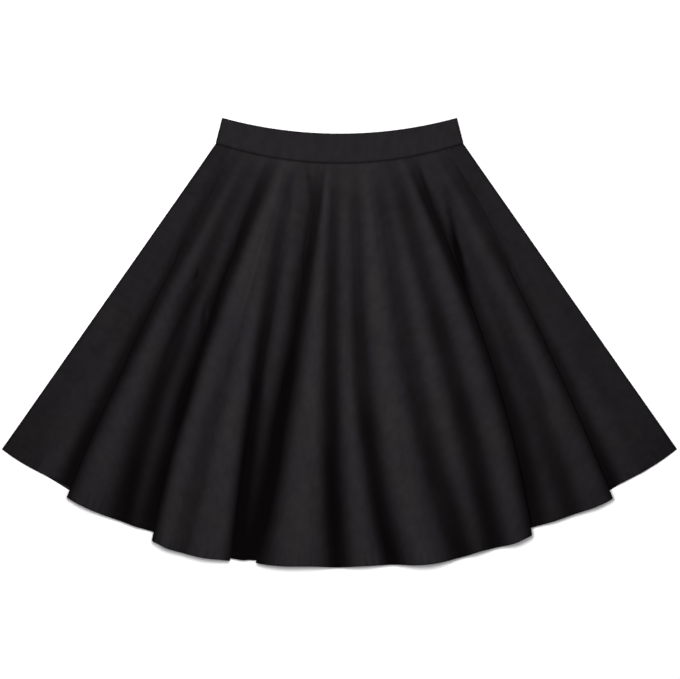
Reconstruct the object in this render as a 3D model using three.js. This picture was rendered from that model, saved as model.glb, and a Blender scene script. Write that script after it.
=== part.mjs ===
// A circle skirt laid flat on a table, front up: a front panel and two back panels, cut as parts of a full ring, that
// fall into folds as they run out from a smooth waistband, with a zip at the centre back.
// Millimetres. +X is the wearer's left, +Y runs up to the waist and +Z is off the table. The origin is on the table,
// under the middle of the skirt. Angles are degrees from the centre line, about the apex where the side edges meet.
import * as THREE from "three";

// Driving sizes
const WALL = 1.2; // skirt cloth
const BAND_WALL = 2; // waistband: two layers of cloth over a stiffener
const SEAM_GAP = 0.3; // between sewn pieces
const BAND_HEIGHT = 41;
const BAND_TOP_HALF = 164; // half of the waist, measured straight across
const BAND_TOP_DIP = 22; // the top edge's middle is this much lower than its ends
const SEAM_HALF = 173;
const SEAM_DIP = 28;
const SEAM_Y = 251; // the waist seam's middle, from the origin
const APEX_RISE = 274; // the apex above the waist seam's middle
const FLARE = 35; // from the centre line to each side edge
const BACK_REACH = { centre: 828, side: 820 }; // from the apex to the back's hem

// The front's folds from the wearer's right side (-X) to the left. A ridge or valley is a line in the cloth, with its
// height at the hem above cloth that lies flat. A tuck is a folded edge that lies on its neighbour, over 1 towards -X
// and -1 towards +X, with this depth of cloth hidden at the hem. waist, middle and hem are angles, reach is from the
// apex to the hem, starts is how far down the length the form begins and laps how far down a tuck begins to overlap.
const FRONT_FOLDS = [
  { kind: "side", waist: -35, middle: -35, hem: -35, starts: 0, height: 0, reach: 823 },
  { kind: "ridge", waist: -33.6, middle: -33.4, hem: -33.2, starts: 0, height: 0.6, reach: 824 },
  { kind: "ridge", waist: -31.8, middle: -31.3, hem: -30.8, starts: 0, height: 0.4, reach: 822 },
  { kind: "tuck", waist: -29.9, middle: -28.6, hem: -27.1, starts: 0.03, height: 13, low: 0, reach: 833, under: 818,
    over: 1, depth: 66, laps: 0.25 },
  { kind: "ridge", waist: -27.3, middle: -26.3, hem: -24.6, starts: 0.04, height: 14, reach: 834 },
  { kind: "valley", waist: -24.9, middle: -23.5, hem: -21.2, starts: 0.05, height: 4.5, reach: 832, half: 7 },
  { kind: "ridge", waist: -22.8, middle: -22.1, hem: -19.9, starts: 0.05, height: 8.5, reach: 832 },
  { kind: "tuck", waist: -20.4, middle: -19.8, hem: -18, starts: 0.02, height: 20, low: 0, reach: 843, under: 831,
    over: 1, depth: 58, laps: 0.12 },
  { kind: "ridge", waist: -17.2, middle: -17.4, hem: -16.6, starts: 0.03, height: 23, reach: 846 },
  { kind: "valley", waist: -15.4, middle: -15.6, hem: -15, starts: 0.3, height: 17.5, reach: 846, half: 3 },
  { kind: "ridge", waist: -13.9, middle: -13.8, hem: -12.9, starts: 0.03, height: 23, reach: 846 },
  { kind: "tuck", waist: -12.4, middle: -11.5, hem: -10.5, starts: 0.08, height: 19, low: 1.5, reach: 843, under: 840,
    over: -1, depth: 40, laps: 0.5 },
  { kind: "ridge", waist: -9.4, middle: -9.6, hem: -9.1, starts: 0.03, height: 5.5, reach: 840 },
  { kind: "tuck", waist: -5.8, middle: -6.9, hem: -7.9, starts: 0.02, height: 20, low: 0, reach: 840, under: 837,
    over: 1, depth: 74, laps: 0.2 },
  { kind: "ridge", waist: -4.2, middle: -4.6, hem: -4.9, starts: 0.03, height: 24, reach: 839 },
  { kind: "ridge", waist: -2.9, middle: -3.2, hem: -2.7, starts: 0.03, height: 23, reach: 836 },
  { kind: "valley", waist: -1.3, middle: -1.3, hem: -0.2, starts: 0.04, height: 3, reach: 839, half: 5 },
  { kind: "ridge", waist: 1.3, middle: 0.9, hem: 2, starts: 0.05, height: 20, reach: 836 },
  { kind: "valley", waist: 4.3, middle: 3.1, hem: 5, starts: 0.12, height: 3, reach: 838, half: 6 },
  { kind: "ridge", waist: 6.2, middle: 5.6, hem: 7, starts: 0.03, height: 24, reach: 841 },
  { kind: "ridge", waist: 8.1, middle: 7.6, hem: 9.3, starts: 0.03, height: 23, reach: 843 },
  { kind: "valley", waist: 10.4, middle: 10, hem: 11.7, starts: 0.1, height: 5, reach: 842, half: 6 },
  { kind: "ridge", waist: 12.6, middle: 12.7, hem: 13.2, starts: 0.04, height: 20, reach: 838 },
  { kind: "valley", waist: 14.9, middle: 15.5, hem: 15, starts: 0.05, height: 5, reach: 840, half: 6 },
  { kind: "ridge", waist: 17, middle: 17.8, hem: 16.9, starts: 0.03, height: 22, reach: 841 },
  { kind: "tuck", waist: 20.8, middle: 20.9, hem: 18.6, starts: 0.01, height: 19, low: 0, reach: 838, under: 828,
    over: -1, depth: 52, laps: 0.12 },
  { kind: "ridge", waist: 23, middle: 22.8, hem: 20.9, starts: 0.05, height: 10, reach: 830 },
  { kind: "valley", waist: 24.9, middle: 24.6, hem: 22.8, starts: 0.25, height: 7.5, reach: 831, half: 4 },
  { kind: "ridge", waist: 27.1, middle: 26.3, hem: 24.9, starts: 0.05, height: 13, reach: 834 },
  { kind: "tuck", waist: 30.2, middle: 28.7, hem: 27.1, starts: 0.03, height: 12, low: 0, reach: 835, under: 821,
    over: -1, depth: 58, laps: 0.28 },
  { kind: "ridge", waist: 31.8, middle: 31.3, hem: 30.8, starts: 0, height: 0.4, reach: 824 },
  { kind: "ridge", waist: 33.6, middle: 33.4, hem: 33.2, starts: 0, height: 0.6, reach: 824 },
  { kind: "side", waist: 35, middle: 35, hem: 35, starts: 0, height: 0, reach: 823 },
];

// The back's pleats on each side of the centre back, flat under the front. They rise and then lap, as they run down.
const BACK_PLEATS = { first: 5.6, pitch: 6.8, count: 4, depth: 46, rises: 0.1, laps: 0.3 };
const LAYER = 2.2; // from one layer of a back pleat to the next

// Cloth on cloth: what the front lies on at the waist, over the back's pleats and at the side edges
const REST_WAIST = BAND_WALL + SEAM_GAP + BAND_WALL / 2;
const REST_PLEATS = WALL / 2 + 2 * LAYER + WALL + SEAM_GAP;
const REST_SIDE = WALL + SEAM_GAP + WALL / 2;
const SIDE_ANGLES = { from: 29, to: 32 };

// Zip at the centre back
const ZIP = { gapHalf: 3.2, half: 2.9, bottom: 1, top: 2, belowSeam: 180 };
const SLIDER = { belowTop: 3, length: 9, side: 0.8 };
const PULL = { half: 1.8, length: 17, bottom: 0.05, top: 0.7, inSlider: 3 };

// Mesh fineness
const FRONT_ROWS = 15;
const BAND_COLUMNS = 24;

const { degToRad, radToDeg, lerp, clamp, smoothstep } = THREE.MathUtils;
const steps = (count) => Array.from({ length: count + 1 }, (_, i) => i / count);

// How far an arc of this half width and dip has risen at x, from its lowest point in the middle
function arcRise(x, half, dip) {
  const radius = (half * half + dip * dip) / (2 * dip);
  return radius - Math.sqrt(radius * radius - x * x);
}

// From the apex to the waist seam along a ray at this angle
function seamRadius(angle) {
  const radius = (SEAM_HALF ** 2 + SEAM_DIP ** 2) / (2 * SEAM_DIP);
  const toCentre = radius - APEX_RISE;
  const along = toCentre * Math.cos(degToRad(angle));
  return Math.sqrt(along * along - toCentre ** 2 + radius ** 2) - along;
}

// A point of a panel, a share v of the way from the waist seam to the hem, as its angle, its distance from the apex
// and its height. It lies offset millimetres across from a line at this angle.
function panelPoint(angle, offset, z, reach, v) {
  const turned = angle + radToDeg(offset / lerp(seamRadius(angle), reach, v));
  const radius = lerp(seamRadius(turned) + SEAM_GAP / 2, reach, v);
  return { angle: turned, radius, z };
}

function place({ angle, radius, z }) {
  const a = degToRad(angle);
  return new THREE.Vector3(radius * Math.sin(a), SEAM_Y + APEX_RISE - radius * Math.cos(a), z);
}

// A fold line's angle: a smooth line through its angles at the waist, the middle and the hem
function foldAngle({ waist, middle, hem }, v) {
  return waist * (1 - v) * (1 - 2 * v) + middle * 4 * v * (1 - v) + hem * v * (2 * v - 1);
}

// Folds rise quickly below the waist seam and slowly towards the hem
function growth(starts, v) {
  return Math.pow(clamp((v - starts) / (1 - starts), 0, 1), 0.6);
}

// The height of the front's middle surface where it lies on the back
function restHeight(angle, v) {
  const risen = smoothstep(v, 0, BACK_PLEATS.rises);
  const side = smoothstep(Math.abs(angle), SIDE_ANGLES.from, SIDE_ANGLES.to);
  return lerp(REST_WAIST, lerp(REST_PLEATS, REST_SIDE, side), risen);
}

function frontPoint(angle, offset, height, reach, v) {
  const point = panelPoint(angle, offset, 0, reach, v);
  point.z = restHeight(point.angle, v) + height;
  return point;
}

// A tuck's cross-section in eight points, from the lower cloth, under and back, round the edge and onto the top. Near
// the waist it is a plain ramp, and from laps on it folds over. share is of the hidden depth and run is millimetres,
// both past the edge. layer is the height of the hidden cloth and rise a share of what is left of the tuck's height.
const TUCK_POINTS = [
  { share: 0, run: -11, layer: 0, rise: 0, ramp: 0 },
  { share: 0.45, run: 0, layer: 0, rise: 0, ramp: 0.01 },
  { share: 1.08, run: 0, layer: 0, rise: 0, ramp: 0.04 },
  { share: 1.08, run: 0, layer: 3, rise: 0.1, ramp: 0.36 },
  { share: 0.45, run: 2, layer: 3, rise: 0.12, ramp: 0.5 },
  { share: 0, run: -2, layer: 3, rise: 0.15, ramp: 0.64 },
  { share: 0, run: -1, layer: 3, rise: 0.6, ramp: 0.97 },
  { share: 0, run: 11, layer: 3, rise: 0.98, ramp: 1 },
];
const RAMP_STEP = { waist: 0.8, below: 2.6 };

function tuckPoints(fold, v) {
  const grown = growth(fold.starts, v);
  const total = (fold.height - fold.low) * grown;
  const folded = smoothstep(v, fold.laps, fold.laps + 0.32);
  const settled = smoothstep(v, fold.laps + 0.15, fold.laps + 0.45);
  const rampStep = lerp(RAMP_STEP.waist, RAMP_STEP.below, smoothstep(v, 0, 0.25));
  const made = TUCK_POINTS.map((p, i) => {
    const offset = lerp((i - 5) * rampStep, p.share * fold.depth * v + p.run, folded);
    const lapped = p.layer + (total - p.layer) * p.rise;
    const height = fold.low * grown + lerp(total * p.ramp, lapped, settled);
    const reach = lerp(fold.under, fold.reach, clamp((i - 2) / 4, 0, 1));
    return frontPoint(foldAngle(fold, v), fold.over * offset, height, reach, v);
  });
  return fold.over > 0 ? made : made.reverse();
}

function linePoints(fold, v) {
  const offsets = fold.kind === "valley" ? [-fold.half * v, fold.half * v] : [0];
  const height = fold.height * growth(fold.starts, v);
  return offsets.map((offset) => frontPoint(foldAngle(fold, v), offset, height, fold.reach, v));
}

// A smooth line, a uniform cubic B-spline, between the first and last of its control points
function splinePoint(controls, t) {
  const spans = controls.length - 1;
  const span = Math.min(Math.floor(t), spans - 1);
  const f = t - span;
  const weights = [(1 - f) ** 3, 3 * f ** 3 - 6 * f ** 2 + 4, -3 * f ** 3 + 3 * f ** 2 + 3 * f + 1, f ** 3];
  const point = { angle: 0, radius: 0, z: 0 };
  for (const key of Object.keys(point)) {
    const values = controls.map((control) => control[key]);
    const before = 2 * values[0] - values[1];
    const after = 2 * values[spans] - values[spans - 1];
    const near = [before, ...values, after].slice(span, span + 4);
    point[key] = near.reduce((sum, value, k) => sum + (value * weights[k]) / 6, 0);
  }
  return place(point);
}

// The front's cross-section a share v of the way down, with two points to each span
function frontSection(v) {
  const controls = FRONT_FOLDS.flatMap((fold) => (fold.kind === "tuck" ? tuckPoints : linePoints)(fold, v));
  return steps(2 * (controls.length - 1)).map((share) => splinePoint(controls, share * (controls.length - 1)));
}

function backPoint(angle, offset, layer, v) {
  const reach = lerp(BACK_REACH.centre, BACK_REACH.side, (angle / FLARE) ** 2);
  return panelPoint(angle, offset, WALL / 2 + LAYER * layer * smoothstep(v, 0, BACK_PLEATS.rises), reach, v);
}

// A pleat from the centre outwards: along the table to its edge, back over itself, and out across the edge again.
// hidden is a share of the pleat's depth, run is millimetres past its edge, and ramp is its place before it laps.
const PLEAT_POINTS = [
  { hidden: 0, run: 0, ramp: -7, layer: 0 },
  { hidden: 0, run: 0, ramp: -4, layer: 0.8 },
  { hidden: 1, run: 0, ramp: -1, layer: 1.2 },
  { hidden: 1, run: 0, ramp: 2, layer: 2 },
  { hidden: 0, run: 4, ramp: 5, layer: 2 },
  { hidden: 0, run: 20, ramp: 10, layer: 0 },
];

// The share of the back's length that the zip takes, from the waist seam
const ZIP_END = (ZIP.belowSeam + 3) / (BACK_REACH.centre - APEX_RISE);
const ZIP_CLOSES = ZIP_END + 0.03;

// A back panel's cross-section, out from the centre back, where it leaves room for the zip
function backSection(v) {
  const open = 1 - smoothstep(v, ZIP_END, ZIP_CLOSES);
  const points = [backPoint(0, lerp(SEAM_GAP / 2, ZIP.gapHalf, open), 0, v)];
  const folded = smoothstep(v, BACK_PLEATS.rises, BACK_PLEATS.laps);
  for (let i = 0; i < BACK_PLEATS.count; i++) {
    const angle = BACK_PLEATS.first + i * BACK_PLEATS.pitch;
    for (const p of PLEAT_POINTS) {
      const lapped = p.run - p.hidden * BACK_PLEATS.depth * v;
      points.push(backPoint(angle, lerp(p.ramp, lapped, folded), p.layer, v));
    }
  }
  points.push(backPoint(32, 0, 0, v), backPoint(FLARE, 0, 0, v));
  return points.map(place);
}

// A closed wall either side of a surface, given as rows of points. Both faces keep their distance round each fold.
function wallGeometry(rows, thickness) {
  const height = rows.length;
  const width = rows[0].length;
  const offsets = rows.map((row, r) =>
    row.map((point, c) => {
      const down = rows[Math.min(r + 1, height - 1)][c].clone().sub(rows[Math.max(r - 1, 0)][c]);
      const normals = [row[c - 1], row[c + 1]].flatMap((other, k) => {
        if (!other) return [];
        const across = k ? other.clone().sub(point) : point.clone().sub(other);
        return [down.clone().cross(across).normalize()];
      });
      const [first, second = first] = normals;
      return first.clone().add(second).multiplyScalar(thickness / 2 / (1 + first.dot(second)));
    }),
  );
  const positions = [1, -1].flatMap((side) =>
    rows.flatMap((row, r) => row.flatMap((p, c) => p.clone().addScaledVector(offsets[r][c], side).toArray())),
  );
  const at = (side, r, c) => (side * height + r) * width + c;
  const faces = [];
  const quad = (a, b, c, d) => faces.push(a, b, c, a, c, d);
  for (let r = 0; r < height - 1; r++) {
    for (let c = 0; c < width - 1; c++) {
      quad(at(0, r, c), at(0, r + 1, c), at(0, r + 1, c + 1), at(0, r, c + 1));
      quad(at(1, r, c), at(1, r, c + 1), at(1, r + 1, c + 1), at(1, r + 1, c));
    }
    quad(at(0, r, 0), at(1, r, 0), at(1, r + 1, 0), at(0, r + 1, 0));
    quad(at(0, r + 1, width - 1), at(1, r + 1, width - 1), at(1, r, width - 1), at(0, r, width - 1));
  }
  for (let c = 0; c < width - 1; c++) {
    quad(at(0, 0, c), at(0, 0, c + 1), at(1, 0, c + 1), at(1, 0, c));
    quad(at(0, height - 1, c + 1), at(0, height - 1, c), at(1, height - 1, c), at(1, height - 1, c + 1));
  }
  const geometry = new THREE.BufferGeometry();
  geometry.setAttribute("position", new THREE.Float32BufferAttribute(positions, 3));
  geometry.setIndex(faces);
  geometry.computeVertexNormals();
  return geometry;
}

function skirtFront() {
  const rows = steps(FRONT_ROWS).map((share) => frontSection(share ** 1.25));
  return wallGeometry(rows, WALL);
}

function skirtBack(side) {
  const shares = [0, 0.05, BACK_PLEATS.rises, 0.14, 0.18, 0.22, BACK_PLEATS.laps, ZIP_END, ZIP_CLOSES, 0.52, 0.75, 1];
  const rows = shares.map((v) => {
    const row = backSection(v);
    if (side > 0) return row;
    return row.reverse().map((point) => point.setX(-point.x));
  });
  return wallGeometry(rows, WALL);
}

// A length of waistband between two shares of its half width, with its middle surface at this height
function waistband(from, to, z, columns) {
  const rows = [0, 0.5, 1].map((v) =>
    steps(columns).map((u) => {
      const share = lerp(from, to, u);
      const topY = SEAM_Y + BAND_HEIGHT + arcRise(share * BAND_TOP_HALF, BAND_TOP_HALF, BAND_TOP_DIP);
      const bottomY = SEAM_Y + SEAM_GAP / 2 + arcRise(share * SEAM_HALF, SEAM_HALF, SEAM_DIP);
      return new THREE.Vector3(share * lerp(BAND_TOP_HALF, SEAM_HALF, v), lerp(topY, bottomY, v), z);
    }),
  );
  return wallGeometry(rows, BAND_WALL);
}

// A flat piece from one side of its outline, given from the bottom up, and its mirror image
function plate(half, bottom, top) {
  const other = half.map(([x, y]) => [-x, y]).reverse();
  const shape = new THREE.Shape([...half, ...other].map(([x, y]) => new THREE.Vector2(x, y)));
  const geometry = new THREE.ExtrudeGeometry(shape, { depth: top - bottom, bevelEnabled: false });
  return geometry.translate(0, 0, bottom);
}

const sliderTop = SEAM_Y + BAND_HEIGHT - SLIDER.belowTop;
const sliderBottom = sliderTop - SLIDER.length;

function zipChain() {
  const outline = [[ZIP.half, SEAM_Y - ZIP.belowSeam], [ZIP.half, sliderBottom - SEAM_GAP]];
  return plate(outline, ZIP.bottom, ZIP.top);
}

// The slider is a channel, and the tab's top end turns between its two sides
function zipSlider() {
  const inner = ZIP.half - SLIDER.side;
  const outline = [[inner, ZIP.bottom], [inner, 0], [ZIP.half, 0], [ZIP.half, ZIP.top]];
  return plate(outline, -sliderTop, -sliderBottom).rotateX(Math.PI / 2);
}

// The tab narrows in the middle, where a finger and thumb take it
function zipPull() {
  const top = sliderBottom + PULL.inSlider;
  const bottom = top - PULL.length;
  const outline = [
    [PULL.half * 0.6, bottom],
    [PULL.half, bottom + 3],
    [PULL.half * 0.5, bottom + 8],
    [PULL.half, top],
  ];
  return plate(outline, PULL.bottom, PULL.top);
}

const BLACK_COTTON = { color: 0x1f1d20, roughness: 0.85, metalness: 0 };
const BLACK_ZIP = { color: 0x161618, roughness: 0.45, metalness: 0 };

const skirt = new THREE.Group();

function add(name, geometry, look) {
  const mesh = new THREE.Mesh(geometry, new THREE.MeshStandardMaterial(look));
  mesh.name = name;
  skirt.add(mesh);
}

const zipShare = ZIP.gapHalf / BAND_TOP_HALF;
add("skirt_front", skirtFront(), BLACK_COTTON);
add("skirt_back_left", skirtBack(1), BLACK_COTTON);
add("skirt_back_right", skirtBack(-1), BLACK_COTTON);
add("waistband_front", waistband(-1, 1, REST_WAIST, BAND_COLUMNS), BLACK_COTTON);
add("waistband_back_left", waistband(zipShare, 1, BAND_WALL / 2, BAND_COLUMNS / 2), BLACK_COTTON);
add("waistband_back_right", waistband(-1, -zipShare, BAND_WALL / 2, BAND_COLUMNS / 2), BLACK_COTTON);
add("zip_chain", zipChain(), BLACK_ZIP);
add("zip_slider", zipSlider(), BLACK_ZIP);
add("zip_pull", zipPull(), BLACK_ZIP);

export default skirt;
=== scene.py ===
import math

import bmesh
import bpy
import numpy as np
from mathutils import Matrix, Vector


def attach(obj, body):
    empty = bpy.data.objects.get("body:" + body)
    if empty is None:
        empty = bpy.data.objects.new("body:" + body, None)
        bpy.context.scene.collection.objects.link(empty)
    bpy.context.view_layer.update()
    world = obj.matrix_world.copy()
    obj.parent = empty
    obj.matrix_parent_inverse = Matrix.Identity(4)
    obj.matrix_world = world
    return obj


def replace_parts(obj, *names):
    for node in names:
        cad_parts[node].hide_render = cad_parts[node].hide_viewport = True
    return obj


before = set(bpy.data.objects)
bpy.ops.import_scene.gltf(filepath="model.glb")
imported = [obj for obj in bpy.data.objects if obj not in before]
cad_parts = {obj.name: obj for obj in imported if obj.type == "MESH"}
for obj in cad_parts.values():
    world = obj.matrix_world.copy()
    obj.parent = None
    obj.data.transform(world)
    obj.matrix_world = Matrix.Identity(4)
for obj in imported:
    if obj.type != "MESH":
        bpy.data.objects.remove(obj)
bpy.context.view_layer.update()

# Front panel
# Half of a ring of black cotton twill, cut on the fold and sewn to the waist seam without a gather. It lies
# in ridges and in folded edges that rest on their neighbours. Sizes are in millimetres, and angles are in
# degrees about the apex, the point above the waist where the panel's two side edges would meet.

MM = 0.001
CLOTH = 0.8
CAD_WALL, BAND_CAD_WALL = 1.2, 2.0
SEAM_GAP = 0.3
SEAM_HALF, SEAM_DIP, SEAM_Y = 173.0, 28.0, 251.0
APEX_RISE = 274.0
FLARE = 35.0
CUT_WAIST_RADIUS, CUT_HEM_RADIUS = 112.0, 667.0
PLEAT_LAYER = 2.2
PLEATS_RISE = 0.1
REST_WAIST = BAND_CAD_WALL * 1.5 + SEAM_GAP
REST_PLEATS = CAD_WALL * 1.5 + 2 * PLEAT_LAYER + SEAM_GAP
REST_SIDE = CAD_WALL * 1.5 + SEAM_GAP
SIDE_ANGLES = (29.0, 32.0)

# kind, angle at waist, middle and hem, where it starts, height, reach
FRONT_LINES = [
    ("side", -35, -35, -35, 0, 0, 823),
    ("ridge", -33.6, -33.4, -33.2, 0, 0.6, 824),
    ("ridge", -31.8, -31.3, -30.8, 0, 0.4, 822),
    ("tuck", -29.9, -28.6, -27.1, 0.03, 13, 833),
    ("ridge", -27.3, -26.3, -24.6, 0.04, 14, 834),
    ("valley", -24.9, -23.5, -21.2, 0.05, 4.5, 832),
    ("ridge", -22.8, -22.1, -19.9, 0.05, 8.5, 832),
    ("tuck", -20.4, -19.8, -18, 0.02, 20, 843),
    ("ridge", -17.2, -17.4, -16.6, 0.03, 23, 846),
    ("valley", -15.4, -15.6, -15, 0.3, 17.5, 846),
    ("ridge", -13.9, -13.8, -12.9, 0.03, 23, 846),
    ("tuck", -12.4, -11.5, -10.5, 0.08, 19, 843),
    ("ridge", -9.4, -9.6, -9.1, 0.03, 5.5, 840),
    ("tuck", -5.8, -6.9, -7.9, 0.02, 20, 840),
    ("ridge", -4.2, -4.6, -4.9, 0.03, 24, 839),
    ("ridge", -2.9, -3.2, -2.7, 0.03, 23, 836),
    ("valley", -1.3, -1.3, -0.2, 0.04, 3, 839),
    ("ridge", 1.3, 0.9, 2, 0.05, 20, 836),
    ("valley", 4.3, 3.1, 5.0, 0.12, 3, 838),
    ("ridge", 6.2, 5.6, 7, 0.03, 24, 841),
    ("ridge", 8.1, 7.6, 9.3, 0.03, 23, 843),
    ("valley", 10.4, 10, 11.7, 0.1, 5, 842),
    ("ridge", 12.6, 12.7, 13.2, 0.04, 20, 838),
    ("valley", 14.9, 15.5, 15, 0.05, 5, 840),
    ("ridge", 17, 17.8, 16.9, 0.03, 22, 841),
    ("tuck", 20.8, 20.9, 18.6, 0.01, 19, 838),
    ("ridge", 23, 22.8, 20.9, 0.05, 10, 830),
    ("valley", 24.9, 24.6, 22.8, 0.25, 7.5, 831),
    ("ridge", 27.1, 26.3, 24.9, 0.05, 13, 834),
    ("tuck", 30.2, 28.7, 27.1, 0.03, 12, 835),
    ("ridge", 31.8, 31.3, 30.8, 0, 0.4, 824),
    ("ridge", 33.6, 33.4, 33.2, 0, 0.6, 824),
    ("side", 35, 35, 35, 0, 0, 823),
]
# Half the width of each valley's floor
VALLEY_HALVES = [7, 3, 5, 6, 6, 6, 4]
# Each tuck's low side, reach below, direction, hidden depth and where its lap begins
TUCKS = [
    (0, 818, 1, 66, 0.25),
    (0, 831, 1, 58, 0.12),
    (1.5, 840, -1, 40, 0.5),
    (0, 837, 1, 74, 0.2),
    (0, 828, -1, 52, 0.12),
    (0, 821, -1, 58, 0.28),
]
# A tuck's cross-section: share of the hidden depth, run, layer, rise, ramp. Row TUCK_EDGE is the fold.
TUCK_SECTION = [
    (0, -11, 0, 0, 0),
    (0.45, 0, 0, 0, 0.01),
    (1.08, 0, 0, 0, 0.04),
    (1.08, 0, 3, 0.1, 0.36),
    (0.45, 2, 3, 0.12, 0.5),
    (0, -2, 3, 0.15, 0.64),
    (0, -1, 3, 0.6, 0.97),
    (0, 11, 3, 0.98, 1),
]
TUCK_EDGE = 5
FOLD_GROWTH = 0.6
LAP_LENGTH, LAP_SETTLES = 0.32, (0.15, 0.45)


def smooth(x, low, high):
    t = np.clip((x - low) / (high - low), 0, 1)
    return t * t * (3 - 2 * t)


def through(waist, middle, hem, v):
    """The smooth curve through three values, from the waist at v = 0 to the hem at v = 1."""
    return waist * (1 - v) * (1 - 2 * v) + middle * 4 * v * (1 - v) + hem * v * (2 * v - 1)


def seam_radius(angle):
    radius = (SEAM_HALF**2 + SEAM_DIP**2) / (2 * SEAM_DIP)
    to_centre = radius - APEX_RISE
    along = to_centre * np.cos(np.radians(angle))
    return np.sqrt(along**2 - to_centre**2 + radius**2) - along


def panel_point(angle, offset, reach, v):
    start = seam_radius(angle)
    turned = angle + math.degrees(offset / (start + (reach - start) * v))
    start = seam_radius(turned) + SEAM_GAP / 2
    return turned, start + (reach - start) * v


def rest_height(angle, v):
    side = smooth(abs(angle), *SIDE_ANGLES)
    below = REST_PLEATS + (REST_SIDE - REST_PLEATS) * side
    return REST_WAIST + (below - REST_WAIST) * smooth(v, 0, PLEATS_RISE)


def front_controls(v):
    """The front's section at a share of its length: each point's angle, distance from apex and height."""
    made = []
    valley_halves, tucks = iter(VALLEY_HALVES), iter(TUCKS)
    for kind, waist, middle, hem, starts, height, reach in FRONT_LINES:
        angle = through(waist, middle, hem, v)
        grown = min(max((v - starts) / (1 - starts), 0), 1) ** FOLD_GROWTH
        if kind != "tuck":
            half = next(valley_halves) * v if kind == "valley" else 0
            for offset in [-half, half] if half or kind == "valley" else [0]:
                turned, radius = panel_point(angle, offset, reach, v)
                made.append((turned, radius, rest_height(turned, v) + height * grown))
            continue
        low, under, over, depth, laps = next(tucks)
        total = (height - low) * grown
        folded = smooth(v, laps, laps + LAP_LENGTH)
        settled = smooth(v, laps + LAP_SETTLES[0], laps + LAP_SETTLES[1])
        step = 0.8 + 1.8 * smooth(v, 0, 0.25)
        points = []
        for i, (share, run, layer, rise, ramp) in enumerate(TUCK_SECTION):
            plain = (i - TUCK_EDGE) * step
            offset = plain + (share * depth * v + run - plain) * folded
            lapped = layer + (total - layer) * rise
            lift = low * grown + total * ramp + (lapped - total * ramp) * settled
            upper = min(max((i - 2) / 4, 0), 1)
            turned, radius = panel_point(angle, over * offset, under + (reach - under) * upper, v)
            points.append((turned, radius, rest_height(turned, v) + lift))
        made += points if over > 0 else points[::-1]
    return np.array(made)


def spline_weights(samples, count):
    """A uniform cubic B-spline as a matrix on count control points, with both ends held."""
    weights = np.zeros((len(samples), count + 2))
    for row, t in enumerate(samples):
        span = min(int(t), count - 2)
        f = t - span
        weights[row, span : span + 4] = (
            (1 - f) ** 3,
            3 * f**3 - 6 * f**2 + 4,
            -3 * f**3 + 3 * f**2 + 3 * f + 1,
            f**3,
        )
    weights /= 6
    held = weights[:, 1:-1].copy()
    held[:, 0] += 2 * weights[:, 0]
    held[:, 1] -= weights[:, 0]
    held[:, -1] += 2 * weights[:, -1]
    held[:, -2] -= weights[:, -1]
    return held


def place(angle, radius, z):
    a = np.radians(angle)
    return np.stack([radius * np.sin(a), SEAM_Y + APEX_RISE - radius * np.cos(a), z + 0 * a], axis=-1)


PANEL_LENGTH = 552.0
HEM, HEM_STITCH_UP = 9.0, 8.0
ROW_PITCH, COLUMN_PITCH = 6.6, 4.8


def panel_shares():
    """Rows from the waist seam to the hem: close together at the seam and over the turned hem."""
    seam = [0, 0.7, 1.5, 3, 6]
    hem = [PANEL_LENGTH - up for up in (14, 11, 9.2, 8.4, 7.6, 6.8, 4.5, 2.2, 0.8, 0)]
    body = np.arange(12, PANEL_LENGTH - 17, ROW_PITCH)
    return np.concatenate([seam, body, hem]) / PANEL_LENGTH


def step_lengths(line):
    return np.linalg.norm(np.diff(line, axis=0), axis=1)


def length_along(line):
    """How far each point lies along a line of points."""
    return np.concatenate([[0], np.cumsum(step_lengths(line))])


front_v = panel_shares()
hem_controls = front_controls(1.0)
front_t = [0.0]
for span, size in enumerate(step_lengths(place(*hem_controls.T))):
    parts = max(3, math.ceil(size / COLUMN_PITCH))
    front_t += [span + (k + 1) / parts for k in range(parts)]
front_weights = spline_weights(front_t, len(hem_controls))
front_mid = np.stack([place(*(front_weights @ front_controls(v)).T) for v in front_v])


def grid_normals(mid):
    across = np.gradient(mid, axis=1)
    down = np.gradient(mid, axis=0)
    normal = np.cross(down, across)
    return normal / np.linalg.norm(normal, axis=2, keepdims=True)


def soft_noise(x, y, seed):
    """Smooth value noise between -1 and 1, one cell to each unit of x and y. It repeats after 64 cells."""
    cells = 64
    table = np.random.default_rng(seed).uniform(-1, 1, (cells, cells))
    xi, yi = np.floor(x).astype(int), np.floor(y).astype(int)
    fx, fy = x - xi, y - yi
    fx, fy = fx * fx * (3 - 2 * fx), fy * fy * (3 - 2 * fy)
    left, right, near, far = xi % cells, (xi + 1) % cells, yi % cells, (yi + 1) % cells
    low = table[left, near] * (1 - fx) + table[right, near] * fx
    high = table[left, far] * (1 - fx) + table[right, far] * fx
    return low * (1 - fy) + high * fy


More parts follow.
